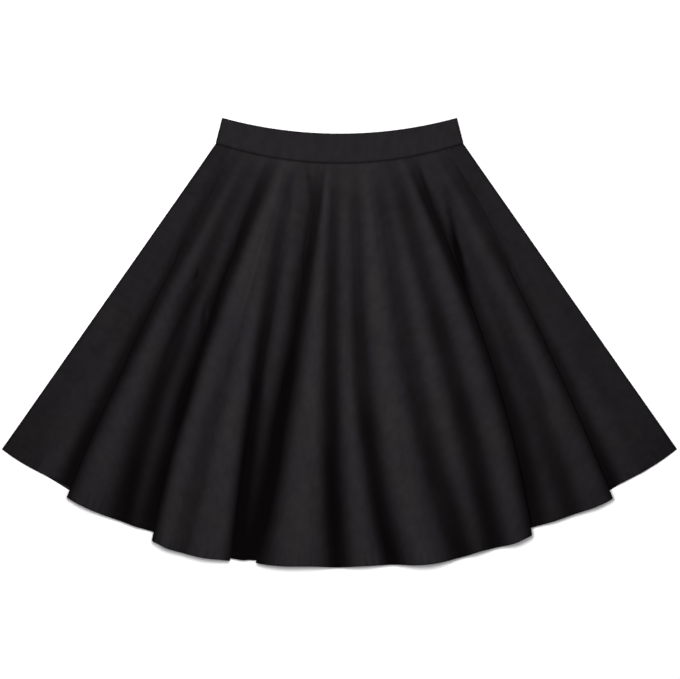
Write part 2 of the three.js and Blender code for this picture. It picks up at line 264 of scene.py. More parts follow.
# Small creases: depth (negative is raised), half width, painted shade (negative is painted light), and the
# line that each follows in the photo
PIXEL, PHOTO_MIDDLE = 1.4, (339.5, 342.5)
CREASES = [
    (2.2, 2.2, 0.85, [(199, 267), (197, 274), (194, 282)]),
    (0.7, 3.0, 0.2, [(200, 258), (190, 283), (173, 308)]),
    (1.8, 3.2, 0.5, [(200, 284), (186, 312), (172, 340), (158, 374)]),
    (0.3, 9.0, 0.3, [(214, 246), (206, 268), (196, 292), (184, 318)]),
    (1.6, 3.0, 0.6, [(208, 296), (203, 316), (203, 344)]),
    (-0.9, 2.4, -0.9, [(208, 307), (208, 317), (206, 328)]),
    (0.4, 8.5, 0.5, [(219, 280), (212, 304), (206, 334)]),
    (2.4, 3.4, 0.7, [(252, 366), (253, 382), (256, 400), (253, 424)]),
    (-0.8, 4.0, -0.1, [(243, 372), (246, 392), (243, 415)]),
    (-0.5, 5.0, -0.6, [(268, 340), (266, 372), (264, 404)]),
    (0.6, 2.6, 0.25, [(231, 352), (228, 366), (225, 380)]),
    (0.6, 2.4, 0.25, [(222, 384), (219, 396), (215, 408)]),
    (0.5, 3.4, 0.12, [(236, 340), (233, 356), (230, 372)]),
    (2.0, 5.2, 0.9, [(445, 190), (449, 212), (455, 240), (462, 270), (471, 306)]),
    (0.4, 8.0, 0.6, [(448, 230), (456, 258), (466, 300)]),
    (0.3, 7.0, 0.3, [(292, 166), (289, 182), (285, 206)]),
    (0.3, 9.0, 0.22, [(302, 160), (301, 200), (297, 240), (291, 280), (284, 320)]),
    (-0.7, 4.0, -0.1, [(444, 215), (449, 240), (456, 268)]),
    (1.6, 2.4, 0.45, [(418, 160), (424, 184), (431, 204), (438, 226)]),
    (0.9, 3.4, 0.2, [(528, 356), (537, 386), (548, 422)]),
    (0.6, 3.0, 0.15, [(501, 300), (508, 322), (514, 345)]),
    (0.5, 4.0, 0.1, [(118, 400), (108, 430), (99, 455)]),
    (0.7, 4.0, 0.15, [(300, 250), (297, 290), (291, 330)]),
    (0.5, 3.6, 0.12, [(345, 300), (348, 345), (346, 385)]),
    (0.5, 3.4, 0.12, [(396, 410), (402, 450), (404, 480)]),
    (0.6, 4.2, 0.12, [(190, 470), (186, 500), (181, 528)]),
    (0.5, 3.6, 0.12, [(470, 420), (478, 455), (484, 486)]),
    (0.5, 4.4, 0.12, [(560, 400), (575, 432), (586, 462)]),
    (0.4, 4.0, 0.4, [(306, 158), (309, 180), (312, 206)]),
    (-0.3, 12.0, -0.24, [(262, 205), (254, 250), (243, 300), (232, 345)]),
    (0.3, 3.0, 0.12, [(355, 196), (357, 222), (360, 250)]),
]


def creased(points, strengths):
    """The creases' effect at each point, with one strength for each. A crease fades out at both ends."""
    total = np.zeros(points.shape[:-1])
    middle_x, middle_y = PHOTO_MIDDLE
    for strength, (_, half, _, line) in zip(strengths, CREASES):
        line = np.array([((x - middle_x) * PIXEL, (middle_y - y) * PIXEL) for x, y in line])
        starts = length_along(line)
        nearest = np.full(total.shape, np.inf)
        along = np.zeros(total.shape)
        for a, b, length, start in zip(line[:-1], line[1:], step_lengths(line), starts):
            step = (b - a) / length
            t = np.clip((points[..., :2] - a) @ step, 0, length)
            distance = np.linalg.norm(points[..., :2] - a - t[..., None] * step, axis=-1)
            closer = distance < nearest
            nearest = np.where(closer, distance, nearest)
            along = np.where(closer, start + t, along)
        fade = np.sin(np.pi * np.clip(along / starts[-1], 0.04, 0.96)) ** 0.7
        total += strength * fade * np.exp(-((nearest / half) ** 2))
    return total


# The cloth's unevenness: height, length across and down, and the noise's seed
UNEVEN = [(0.7, 31, 160, 3), (0.45, 15, 70, 4), (0.25, 9.5, 34, 9)]
PUCKER_DEPTH, PUCKER_WIDTH, PUCKER_LENGTH, PUCKER_FADES = 0.55, 10.5, 60, (26, 4)
STITCH_DIP, STITCH_DIP_HALF = 0.3, 0.9
SEAM_HOLDS, SEAM_DIP_IN, SEAM_DIP_LENGTH = (0, 30), 0.9, 1.3

fall = front_v[:, None] * PANEL_LENGTH
hem_steps = length_along(front_mid[-1])[None, :] + 0 * fall
from_hem = PANEL_LENGTH - fall + 0 * hem_steps
# 0 on the columns that a tuck hides and 1 on the rest
showing = np.ones(len(front_t))
first = 0
for kind, *_ in FRONT_LINES:
    if kind == "tuck":
        showing[(np.array(front_t) > first + 0.6) & (np.array(front_t) < first + 6.4)] = 0
    first += {"tuck": len(TUCK_SECTION), "valley": 2}.get(kind, 1)
lift = sum(height * soft_noise(hem_steps / wide, fall / long, seed) for height, wide, long, seed in UNEVEN)
lift = (lift - creased(front_mid, [depth for depth, *_ in CREASES])) * (showing * smooth(fall, *SEAM_HOLDS))
pucker = soft_noise(hem_steps / PUCKER_WIDTH, fall / PUCKER_LENGTH, 5) * smooth(from_hem, *PUCKER_FADES)
lift += PUCKER_DEPTH * pucker * showing
lift -= STITCH_DIP * np.exp(-(((from_hem - HEM_STITCH_UP) / STITCH_DIP_HALF) ** 2)) * showing
lift -= SEAM_DIP_IN * np.exp(-fall / SEAM_DIP_LENGTH)
front_mid = front_mid + grid_normals(front_mid) * lift[..., None]


def in_scene(name, data):
    piece = bpy.data.objects.new(name, data)
    bpy.context.scene.collection.objects.link(piece)
    return piece


def cloth_shell(name, mid, thickness, layers):
    """A closed shell round a grid of points, with the grid's own values kept on it as attributes."""
    rows, columns = mid.shape[:2]
    normals = grid_normals(mid)
    half = np.broadcast_to(np.asarray(thickness) / 2, (rows, columns))[..., None]
    points = np.concatenate([mid + normals * half, mid - normals * half]).reshape(-1, 3) * MM
    at = np.arange(rows * columns).reshape(rows, columns)
    a, b, c, d = at[:-1, :-1], at[1:, :-1], at[1:, 1:], at[:-1, 1:]
    top = np.stack([a, b, c, d], axis=-1).reshape(-1, 4)
    under = rows * columns
    sides = []
    for edge in (at[0, ::-1], at[:, 0], at[-1, :], at[::-1, -1]):
        sides.append(np.stack([edge[1:], edge[:-1], edge[:-1] + under, edge[1:] + under], axis=-1))
    faces = np.concatenate([top, top[:, ::-1] + under, *sides])
    mesh = bpy.data.meshes.new(name)
    mesh.from_pydata(points.tolist(), [], faces.tolist())
    corners = np.empty(len(mesh.loops), dtype=np.int32)
    mesh.loops.foreach_get("vertex_index", corners)
    for key, values in layers.items():
        values = np.concatenate([values.reshape(under, -1)] * 2).astype(np.float32)
        if values.shape[1] == 2:
            mesh.uv_layers.new(name=key).uv.foreach_set("vector", values[corners].ravel())
        else:
            mesh.attributes.new(key, "FLOAT", "POINT").data.foreach_set("value", values.ravel())
    mesh.shade_smooth()
    mesh.set_sharp_from_angle(angle=math.radians(62))
    return in_scene(name, mesh)


def cut_place(share, fall):
    """Where a point lies in the flat half ring that the cloth was cut from, in metres."""
    angle = np.radians((share - 0.5) * 180)
    radius = (CUT_WAIST_RADIUS + fall) * MM
    return np.stack([radius * np.sin(angle), -radius * np.cos(angle)], axis=-1)


# The shade painted into each tuck and valley, from the left of the photo and tuned to its brightness: how
# deep it is at the waist, the middle and the hem, and how far off it is half as deep, to the left at the
# waist and the hem, and then to the right at both
FOLD_SHADES = [
    (0.5, 0.84, 0.89, 11, 17, 8, 13),
    (0.3, 0.8, 0.95, 7, 28, 10, 15),
    (0.7, 1.0, 0.99, 11, 22, 9, 11),
    (-0.5, 0.25, 0.46, 8, 16, 8, 12),
    (0.15, 0.92, 0.98, 9, 12, 9, 20),
    (0.66, 1.03, 1.0, 15, 19, 3, 26),
    (0.42, 0.88, 0.98, 5, 17, 8, 20),
    (0.22, 0.77, 1.02, 9, 14, 8, 20),
    (0.3, 0.64, 0.91, 9, 20, 9, 21),
    (0.55, 0.77, 0.96, 10, 19, 10, 17),
    (0.88, 0.88, 0.92, 5, 16, 10, 25),
    (0.15, 0.45, 0.73, 9, 17, 7, 16),
    (0.46, 0.72, 0.89, 8, 12, 9, 14),
]
SHADE_FALLS, MEAN_REACH = 2.6, 836
# How much painted shade darkens the side wedges, the parts away from the middle, the hem, and a narrow
# strip along each side edge, and that strip's width in mm
SIDES_SHADE, OUTER_SHADE, HEM_SHADE, EDGE_SHADE, EDGE_WIDTH = 0.3, 0.14, 0.14, 0.6, 2.2


def painted_shades(mid):
    """The painted shade: 0 on the ridges and 1 deep in the folds, with more painted shade toward the side
    wedges, the parts away from the middle and the hem, and along the side edges. It is there under any
    light.
    """
    x, y = mid[..., 0], SEAM_Y + APEX_RISE - mid[..., 1]
    angle, radius = np.degrees(np.arctan2(x, y)), np.hypot(x, y)
    start = seam_radius(angle)
    v = np.clip((radius - start) / (MEAN_REACH - start), 0, 1)
    out = np.abs(angle)
    from_edge = np.radians(FLARE - out) * radius
    lit = (1 - SIDES_SHADE * smooth(out, *SIDE_ANGLES)) * (1 - OUTER_SHADE * smooth(out, 5, 27))
    lit *= (1 - HEM_SHADE * v**2) * (1 - EDGE_SHADE * np.exp(-((from_edge / EDGE_WIDTH) ** 2)))
    shades, tucks = iter(FOLD_SHADES), iter(TUCKS)
    for kind, waist, middle, hem, *_ in FRONT_LINES:
        if kind not in ("tuck", "valley"):
            continue
        over = next(tucks)[2] if kind == "tuck" else 0
        across = np.radians(angle - through(waist, middle, hem, v)) * radius + over * (14 * v - 7)
        *depths, left_above, left_below, right_above, right_below = next(shades)
        left = left_above + (left_below - left_above) * v
        right = right_above + (right_below - right_above) * v
        shade = through(*depths, v) * smooth(v, -0.06, 0.12)
        lit *= 1 - shade * 0.5 ** (np.abs(across / np.where(across < 0, left, right)) ** SHADE_FALLS)
    return 1 - lit


# Painted shade in a dark line along the hem's edge and in one along the waist seam: how dark each is, and
# its width in mm
HEM_LINE_SHADE, HEM_LINE_WIDTH = 0.5, 1.4
SEAM_LINE_SHADE, SEAM_LINE_WIDTH = 0.5, 1.7
HEM_TURNING, HEM_STEP = 0.5, 0.8
# The share of the front that its painted shade leaves lit: the painted shade of the folds and sides, the
# creases' painted shade, and painted dark lines along the hem's edge and the waist seam. The attribute that
# darkens the cloth's colour is the rest, with a little random tone added.
front_lit = (1 - painted_shades(front_mid)) * (1 - creased(front_mid, [shade for _, _, shade, _ in CREASES]))
painted_hem_line = HEM_LINE_SHADE * np.exp(-((from_hem / HEM_LINE_WIDTH) ** 2))
front_lit *= 1 - painted_hem_line - SEAM_LINE_SHADE * np.exp(-((fall / SEAM_LINE_WIDTH) ** 2))
front_panel = cloth_shell(
    "front_panel",
    front_mid,
    CLOTH + HEM_TURNING * smooth(from_hem, HEM + HEM_STEP, HEM - HEM_STEP),
    {
        "cut": cut_place(hem_steps / hem_steps[:, -1:], fall),
        "from_hem": from_hem * MM,
        "along_hem": hem_steps * MM,
        "hollow": 1 - front_lit + 0.06 * soft_noise(hem_steps / 24, fall / 60, 12),
    },
)


def linked(tree, kind, **inputs):
    """A node with its inputs set, or linked where the value is another node's output."""
    node = tree.nodes.new(kind)
    for key, value in inputs.items():
        if hasattr(node, key):
            setattr(node, key, value)
            continue
        socket = node.inputs[int(key[1:])] if key[0] == "_" else node.inputs[key.replace("_", " ")]
        if isinstance(value, bpy.types.NodeSocket):
            tree.links.new(value, socket)
        else:
            socket.default_value = value
    return node


def maths(tree, operation, first, second=0.0, third=0.0):
    return linked(tree, "ShaderNodeMath", operation=operation, _0=first, _1=second, _2=third).outputs[0]


def noise(tree, spot, scale, detail):
    return linked(tree, "ShaderNodeTexNoise", Vector=spot, Scale=scale, Detail=detail).outputs["Fac"]


def ramp(tree, value, low, high):
    """0 at the low value and 1 at the high one."""
    return linked(tree, "ShaderNodeMapRange", Value=value, _1=low, _2=high, _3=0.0, _4=1.0).outputs[0]


def mixed(tree, share, first, second, **settings):
    """Two colours mixed, all first at a share of 0 and all second at 1."""
    mix = linked(tree, "ShaderNodeMix", data_type="RGBA", _0=share, _6=first, _7=second, **settings)
    return mix.outputs[2]


def woven_cotton():
    """Twill seen from the cut's own place: yarns, slubs that run with the warp, and a little rubbed nap.
    Its colour darkens with the painted shade it is given and with painted shade over the puckers near the
    hem, and takes a purple tint in half painted shade and in patches of uneven dye.
    """
    group = bpy.data.node_groups.new("woven cotton", "ShaderNodeTree")
    sockets = group.interface
    sockets.new_socket("Cut", in_out="INPUT", socket_type="NodeSocketVector")
    for name in ("Painted Shade And Tone", "From Hem", "Along Hem"):
        sockets.new_socket(name, in_out="INPUT", socket_type="NodeSocketFloat")
    for name in ("Dark", "Light", "Tinted"):
        sockets.new_socket(name, in_out="INPUT", socket_type="NodeSocketColor")
    sockets.new_socket("Colour", in_out="OUTPUT", socket_type="NodeSocketColor")
    sockets.new_socket("Height", in_out="OUTPUT", socket_type="NodeSocketFloat")
    sockets.new_socket("Roughness", in_out="OUTPUT", socket_type="NodeSocketFloat")
    given = linked(group, "NodeGroupInput").outputs
    result = linked(group, "NodeGroupOutput").inputs
    hollow = given["Painted Shade And Tone"]

    def cloth_noise(across, down, detail=2.0):
        stretch = (across, down, 1)
        scaled = linked(group, "ShaderNodeVectorMath", operation="MULTIPLY", _0=given["Cut"], _1=stretch)
        return noise(group, scaled.outputs[0], 1.0, detail)

    slubs = cloth_noise(110, 64)
    yarns = cloth_noise(900, 60)
    rubbed = cloth_noise(42, 30, 3.0)
    twill = linked(group, "ShaderNodeTexWave", Vector=given["Cut"], bands_direction="DIAGONAL", Scale=310.0)
    shade = 0.86
    for pattern, strength in ((slubs, 0.42), (rubbed, 0.38), (yarns, 0.16)):
        shade = maths(group, "MULTIPLY_ADD", maths(group, "SUBTRACT", pattern, 0.5), strength, shade)
    along = maths(group, "MULTIPLY", given["Along Hem"], 190.0)
    puckers = noise(group, linked(group, "ShaderNodeCombineXYZ", X=along).outputs[0], 1.0, 1.0)
    near = ramp(group, given["From Hem"], 0.028, 0.004)
    # Painted shade and light over the small puckers near the hem, on top of their bumps
    pucker_shade = maths(group, "MULTIPLY", maths(group, "SUBTRACT", puckers, 0.55), near)
    shade = maths(group, "MULTIPLY_ADD", pucker_shade, 0.9, shade)
    # The painted shade given to the cloth darkens its colour
    to_light = maths(group, "SUBTRACT", 1.0, hollow)
    shade = maths(group, "MULTIPLY", shade, to_light)
    # A purple tint in half painted shade, and in random patches of uneven dye
    half_shaded = maths(group, "MULTIPLY", hollow, maths(group, "POWER", to_light, 2.0))
    shade_and_dye_tint = maths(group, "MULTIPLY_ADD", half_shaded, 2.6, cloth_noise(13, 11))
    light = mixed(group, ramp(group, shade_and_dye_tint, 0.73, 0.86), given["Light"], given["Tinted"])
    group.links.new(mixed(group, shade, given["Dark"], light, clamp_factor=True), result["Colour"])
    height = maths(group, "MULTIPLY", maths(group, "MULTIPLY", puckers, near), 0.5)
    for pattern, strength in ((slubs, 0.16), (yarns, 0.06), (twill.outputs["Fac"], 0.05)):
        height = maths(group, "MULTIPLY_ADD", pattern, strength, height)
    group.links.new(height, result["Height"])
    group.links.new(maths(group, "MULTIPLY_ADD", rubbed, 0.16, 0.78), result["Roughness"])
    return group


cotton_group = woven_cotton()


def new_material(name):
    """A material with its node tree and its shader's inputs."""
    material = bpy.data.materials.new(name)
    material.use_nodes = True
    tree = material.node_tree
    return material, tree, tree.nodes["Principled BSDF"].inputs


def black_cotton(name, dark, light, tinted):
    material, tree, shader = new_material(name)
    weave = linked(tree, "ShaderNodeGroup", node_tree=cotton_group, Dark=dark, Light=light, Tinted=tinted)
    tree.links.new(linked(tree, "ShaderNodeUVMap", uv_map="cut").outputs[0], weave.inputs["Cut"])
    for key, socket in (("hollow", "Painted Shade And Tone"), ("from_hem", "From Hem"), ("along_hem", "Along Hem")):
        attribute = linked(tree, "ShaderNodeAttribute", attribute_name=key)
        tree.links.new(attribute.outputs["Fac"], weave.inputs[socket])
    bump = linked(tree, "ShaderNodeBump", Strength=0.6, Distance=0.001, Height=weave.outputs["Height"])
    tree.links.new(bump.outputs[0], shader["Normal"])
    tree.links.new(weave.outputs["Colour"], shader["Base Color"])
    tree.links.new(weave.outputs["Roughness"], shader["Roughness"])
    shader["Specular IOR Level"].default_value = 0.0
    shader["Sheen Weight"].default_value = 0.006
    shader["Sheen Roughness"].default_value = 0.5
    return material


# The cloth's colour in full painted shade and in the weave's darkest flecks, its colour where lit, and its
# purple tint
DEEP_BLACK = (0.0018, 0.0014, 0.0016, 1)
GREY, PURPLE = (0.0165, 0.0153, 0.0158, 1), (0.0164, 0.015, 0.0173, 1)
panel_cotton = black_cotton("black cotton twill", DEEP_BLACK, GREY, PURPLE)
front_panel.data.materials.append(panel_cotton)
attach(front_panel, "skirt")
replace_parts(front_panel, "skirt_front")

# Back panels
# Two quarters of the ring, joined by a seam down the centre back that is left open above for the zip. They
# lie under the front in flat pleats, pressed by its weight, with their undersides on the table.

BACK_CLOTH = 1.1
BACK_REACH = (828.0, 820.0)
PLEAT_ANGLES = [5.6 + 6.8 * i for i in range(4)]
LAST_FLAT_ANGLE = 32
PLEAT_DEPTH, PLEATS_LAP = 46.0, 0.3
# hidden share of the depth, run, ramp, layer
PLEAT_SECTION = [
    (0, 0, -7, 0),
    (0, 0, -4, 0.8),
    (1, 0, -1, 1.2),
    (1, 0, 2, 2),
    (0, 4, 5, 2),
    (0, 20, 10, 0),
]
ZIP_GAP_HALF, ZIP_BELOW_SEAM = 3.2, 180.0


def back_section(v):
    """The back's cross-section at a share of its length, as points on the table."""
    zip_end = (ZIP_BELOW_SEAM + 3) / (BACK_REACH[0] - APEX_RISE)
    centre = SEAM_GAP / 2 + (ZIP_GAP_HALF - SEAM_GAP / 2) * (1 - smooth(v, zip_end, zip_end + 0.03))
    folded = smooth(v, PLEATS_RISE, PLEATS_LAP)
    risen = smooth(v, 0, PLEATS_RISE)
    points = [(0, centre, 0)]
    for angle in PLEAT_ANGLES:
        for share, run, ramp_offset, layer in PLEAT_SECTION:
            lapped = run - share * PLEAT_DEPTH * v
            points.append((angle, ramp_offset + (lapped - ramp_offset) * folded, layer))
    points += [(LAST_FLAT_ANGLE, 0, 0), (FLARE, 0, 0)]
    made = []
    for angle, offset, layer in points:
        reach = BACK_REACH[0] + (BACK_REACH[1] - BACK_REACH[0]) * (angle / FLARE) ** 2
        made.append((*panel_point(angle, offset, reach, v), CAD_WALL / 2 + PLEAT_LAYER * layer * risen))
    return place(*np.array(made).T)


def eased(line, radius=0.8):
    """Rounds each corner of a line of points a little, and fills its long stretches."""
    made = [line[0]]
    for before, corner, after in zip(line[:-2], line[1:-1], line[2:]):
        into, out = corner - before, after - corner
        lengths = np.linalg.norm(into), np.linalg.norm(out)
        start = corner - into * min(radius / lengths[0], 0.4)
        end = corner + out * min(radius / lengths[1], 0.4)
        made += [made[-1] + (start - made[-1]) * k / 5 for k in range(1, 5)]
        made += [start, (start + 2 * corner + end) / 4, end]
    made += [made[-1] + (line[-1] - made[-1]) * k / 6 for k in range(1, 7)]
    return np.array(made)


ZIP_END_ROWS = [0.331, 0.361]
back_rows = [0, *ZIP_END_ROWS, 1 - HEM / PANEL_LENGTH, 1 - (HEM - 1.5) / PANEL_LENGTH, 1]
back_v = np.unique(np.concatenate([panel_shares()[::3], back_rows]))
back_flat = np.stack([eased(back_section(v)) for v in back_v])
back_fall = back_v[:, None] * PANEL_LENGTH
back_steps = length_along(back_flat[-1])[None, :] + 0 * back_fall
for side, name in ((1, "left"), (-1, "right")):
    mid = back_flat * (side, 1, 1)
    order = slice(None, None, side)
    share = 0.5 + side * 0.5 * back_steps / back_steps[:, -1:]
    back_panel = cloth_shell(
        f"back_panel_{name}",
        mid[:, order],
        BACK_CLOTH,
        {
            "cut": cut_place(share, back_fall)[:, order],
            "from_hem": (PANEL_LENGTH - back_fall + 0 * back_steps)[:, order] * MM,
            "along_hem": back_steps[:, order] * MM,
            # An even 0.1 of the same darkening that carries the front's painted shade
            "hollow": np.full(mid.shape[:2], 0.1),
        },
    )
    back_panel.data.materials.append(panel_cotton)
    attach(back_panel, "skirt")
    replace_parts(back_panel, f"skirt_back_{name}")

# Waistband
# A straight strip of the same cotton over a stiffener, folded lengthways along its top edge. Each stretch
# is two layers, with a rounded fold above and the waist seam below. The back has a stretch on either side
# of the zip.

BAND_HEIGHT, BAND_TOP_HALF, BAND_TOP_DIP = 41.0, 164.0, 22.0
BAND_LAYER = 0.75
BAND_FOLD_DEPTH = 0.9


def arc_rise(x, half, dip):
    radius = (half * half + dip * dip) / (2 * dip)
    return radius - np.sqrt(radius * radius - x * x)


def waistband(name, first, last, middle, columns):
    """A stretch of the band between two shares of the waist's half width, lying round a middle height."""
    side_gap = BAND_CAD_WALL / 2 - BAND_LAYER / 2 - 0.05
    levels = [0, 0.5, 1.2, 2.5, *np.linspace(5, BAND_HEIGHT - 2, 12)]
    turn = [
        (BAND_HEIGHT - BAND_FOLD_DEPTH + 0.6 * math.cos(a), side_gap * math.sin(a))
        for a in np.linspace(-1.45, 1.45, 9)
    ]
    path = [(y, -side_gap) for y in levels] + turn + [(y, side_gap) for y in levels[::-1]]
    shares = np.linspace(first, last, columns)
    top = SEAM_Y + BAND_HEIGHT + arc_rise(shares * BAND_TOP_HALF, BAND_TOP_HALF, BAND_TOP_DIP)
    bottom = SEAM_Y + SEAM_GAP / 2 + arc_rise(shares * SEAM_HALF, SEAM_HALF, SEAM_DIP)
    rows = []
    for up, side in path:
        rise = up / BAND_HEIGHT
        x = shares * (SEAM_HALF + (BAND_TOP_HALF - SEAM_HALF) * rise)
        z = middle + side * (1 - 0.45 * math.exp(-up / 0.9))
        rows.append(np.stack([x, bottom + (top - bottom) * rise, z + 0 * x], axis=-1))
    mid = np.array(rows)
    around = length_along(mid[:, 0])
    up_share = np.array([up for up, _ in path])[:, None] / BAND_HEIGHT
    wave = 0.16 * soft_noise(mid[..., 0] / 46 + 9, mid[..., 1] / 38, 8)
    mid[..., 2] += wave * np.sin(np.pi * np.clip(up_share, 0, 1))
    from_ends = (1 - np.abs(shares)) * SEAM_HALF
    from_edges = np.minimum(up_share * BAND_HEIGHT, (1 - up_share) * BAND_HEIGHT + 0.4)
    # Painted shade: an even base, and darker along the band's edges and ends
    shaded = 0.22 + 0.45 * np.exp(-((np.minimum(from_edges, from_ends) / 1.5) ** 2))
    band = cloth_shell(
        name,
        mid,
        BAND_LAYER,
        {
            "cut": np.stack([mid[..., 0] * MM, around[:, None] * MM + 0 * mid[..., 0]], axis=-1),
            "from_hem": np.full(mid.shape[:2], 0.2),
            "along_hem": mid[..., 0] * MM,
            "hollow": shaded,
        },
    )
    band.data.materials.append(panel_cotton)
    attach(band, "skirt")
    return band


zip_share = ZIP_GAP_HALF / BAND_TOP_HALF
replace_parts(waistband("band_front", -1, 1, REST_WAIST, 90), "waistband_front")
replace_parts(waistband("band_back_left", zip_share, 1, BAND_CAD_WALL / 2, 46), "waistband_back_left")
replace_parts(waistband("band_back_right", -1, -zip_share, BAND_CAD_WALL / 2, 46), "waistband_back_right")

# Zip
# A black nylon coil zip at the centre back, 22 cm long and closed. Its two tapes are sewn behind the edges
# of the back panels. The slider and the pull tab are black enamelled metal, and the tab turns on a pin
# between the slider's sides.

ZIP_HALF, ZIP_BOTTOM, ZIP_TOP = 2.9, 1.0, 2.0
COIL_PITCH, COIL_CLEARS_STOP = 1.27, 3
TAPE_INNER, TAPE_OUTER, TAPE_BOTTOM, TAPE_TOP, TAPE_PAST_CHAIN = 0.35, 8.5, 1.55, 1.95, 6
STOP_HALF, STOP_LENGTH, STOP_BOTTOM = 1.9, 2.4, 0.95
SLIDER_BELOW_TOP, SLIDER_LENGTH, SLIDER_SIDE, SLIDER_BOTTOM = 3.0, 9.0, 0.8, 0.02
PULL_HALF, PULL_BOTTOM, PULL_TOP, PULL_IN_SLIDER = 1.8, 0.05, 0.7, 3.0
PIN_HALF, PIN_LENGTH, PIN_INSIDE_TAB = 0.24, 4.4, 0.33
slider_top = SEAM_Y + BAND_HEIGHT - SLIDER_BELOW_TOP
slider_bottom = slider_top - SLIDER_LENGTH
chain_bottom = SEAM_Y - ZIP_BELOW_SEAM


def plain_finish(name, colour, roughness, grain, depth, shine):
    """A dark finish with a fine grain in its colour, its roughness and its surface."""
    material, tree, shader = new_material(name)
    shader["Specular IOR Level"].default_value = shine
    specks = noise(tree, linked(tree, "ShaderNodeTexCoord").outputs["Object"], grain, 3.0)
    darker, paler = [(*[c * times for c in colour], 1) for times in (0.7, 1.3)]
    tree.links.new(mixed(tree, specks, darker, paler), shader["Base Color"])
    rough = maths(tree, "MULTIPLY_ADD", specks, 0.2, roughness - 0.1)
    tree.links.new(rough, shader["Roughness"])
    bump = linked(tree, "ShaderNodeBump", Strength=0.4, Distance=depth, Height=specks)
    tree.links.new(bump.outputs[0], shader["Normal"])
    return material


nylon = plain_finish("black nylon", (0.009, 0.009, 0.0098), 0.55, 2600, 0.00005, 0.25)
enamel = plain_finish("black enamel", (0.007, 0.007, 0.0075), 0.28, 900, 0.00003, 0.5)
thread = plain_finish("black sewing thread", (0.0075, 0.0068, 0.0072), 0.8, 5200, 0.00008, 0.06)


def nodes_tree(name, **inputs):
    """An empty Geometry Nodes tree with one named input for each size, and a material."""
    tree = bpy.data.node_groups.new(name, "GeometryNodeTree")
    sockets = tree.interface
    sockets.new_socket("Geometry", in_out="INPUT", socket_type="NodeSocketGeometry")
    for key, value in inputs.items():
        sockets.new_socket(key, in_out="INPUT", socket_type="NodeSocketFloat").default_value = value
    sockets.new_socket("Material", in_out="INPUT", socket_type="NodeSocketMaterial")
    sockets.new_socket("Geometry", in_out="OUTPUT", socket_type="NodeSocketGeometry")
    return tree, linked(tree, "NodeGroupInput").outputs, linked(tree, "NodeGroupOutput").inputs


def finish_tree(tree, given, result, geometry):
    """Ends a tree: real geometry, smooth shading and the material."""
    for kind in ("GeometryNodeRealizeInstances", "GeometryNodeSetShadeSmooth"):
        geometry = linked(tree, kind, Geometry=geometry).outputs[0]
    dressed = linked(tree, "GeometryNodeSetMaterial", Geometry=geometry, Material=given["Material"])
    tree.links.new(dressed.outputs[0], result["Geometry"])
    return tree


def plain_mesh(host):
    return bpy.data.meshes.new_from_object(host.evaluated_get(bpy.context.evaluated_depsgraph_get()))


def made_by(tree, host, material, **values):
    """Runs a tree on a piece and keeps its result as a plain mesh."""
    modifier = host.modifiers.new(tree.name, "NODES")
    modifier.node_group = tree
    values["Material"] = material
    for item in tree.interface.items_tree:
        if item.in_out == "INPUT" and item.name in values:
            modifier[item.identifier] = values[item.name]
    result = plain_mesh(host)
    host.modifiers.clear()
    host.data = result
    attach(host, "skirt")


def mesh_piece(name, points=(), edges=(), faces=()):
    mesh = bpy.data.meshes.new(name)
    mesh.from_pydata(points, edges, faces)
    return in_scene(name, mesh)


def coil_tree():
    """Two rows of rounded teeth that mesh along the zip's middle."""
    tree, given, result = nodes_tree("zip coil", Pitch=0.00127, Length=0.2, Tooth=0.0022, Thick=0.0007)
    count = maths(tree, "FLOOR", maths(tree, "DIVIDE", given["Length"], given["Pitch"]))
    both = linked(tree, "GeometryNodeJoinGeometry")
    for side in (-1, 1):
        start = linked(tree, "ShaderNodeCombineXYZ", X=maths(tree, "MULTIPLY", given["Tooth"], 0.44 * side))
        tree.links.new(maths(tree, "MULTIPLY", given["Pitch"], 0.25 * side + 0.5), start.inputs["Y"])
        step = linked(tree, "ShaderNodeCombineXYZ", Y=given["Pitch"])
        row = linked(tree, "GeometryNodeMeshLine", Count=count)
        tree.links.new(start.outputs[0], row.inputs["Start Location"])
        tree.links.new(step.outputs[0], row.inputs["Offset"])
        ball = linked(tree, "GeometryNodeMeshUVSphere", Segments=8, Rings=5, Radius=0.5)
        size = linked(tree, "ShaderNodeCombineXYZ", X=given["Tooth"], Z=given["Thick"])
        tree.links.new(maths(tree, "MULTIPLY", given["Pitch"], 0.52), size.inputs["Y"])
        tooth = linked(tree, "GeometryNodeTransform", Geometry=ball.outputs[0], Scale=size.outputs[0])
        teeth = linked(
            tree, "GeometryNodeInstanceOnPoints", Points=row.outputs[0], Instance=tooth.outputs[0]
        )
        tree.links.new(teeth.outputs[0], both.inputs[0])
    return finish_tree(tree, given, result, both.outputs[0])


def boxes(name, blocks, bevel, material, body):
    """Blocks given by their lowest and highest corners in millimetres, with rounded edges, as one piece."""
    piece = mesh_piece(name)
    form = bmesh.new()
    for low, high in blocks:
        corners = bmesh.ops.create_cube(form, size=1)["verts"]
        for corner in corners:
            corner.co = [(a + b) / 2 + c * (b - a) for a, b, c in zip(low, high, corner.co)]
    rounding = {"segments": 3, "affect": "EDGES", "profile": 0.5, "clamp_overlap": True}
    bmesh.ops.bevel(form, geom=form.edges, offset=bevel, **rounding)
    bmesh.ops.scale(form, vec=(MM, MM, MM), verts=form.verts)
    form.to_mesh(piece.data)
    form.free()
    piece.data.shade_smooth()
    piece.data.set_sharp_from_angle(angle=math.radians(45))
    piece.data.materials.append(material)
    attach(piece, body)
    return piece


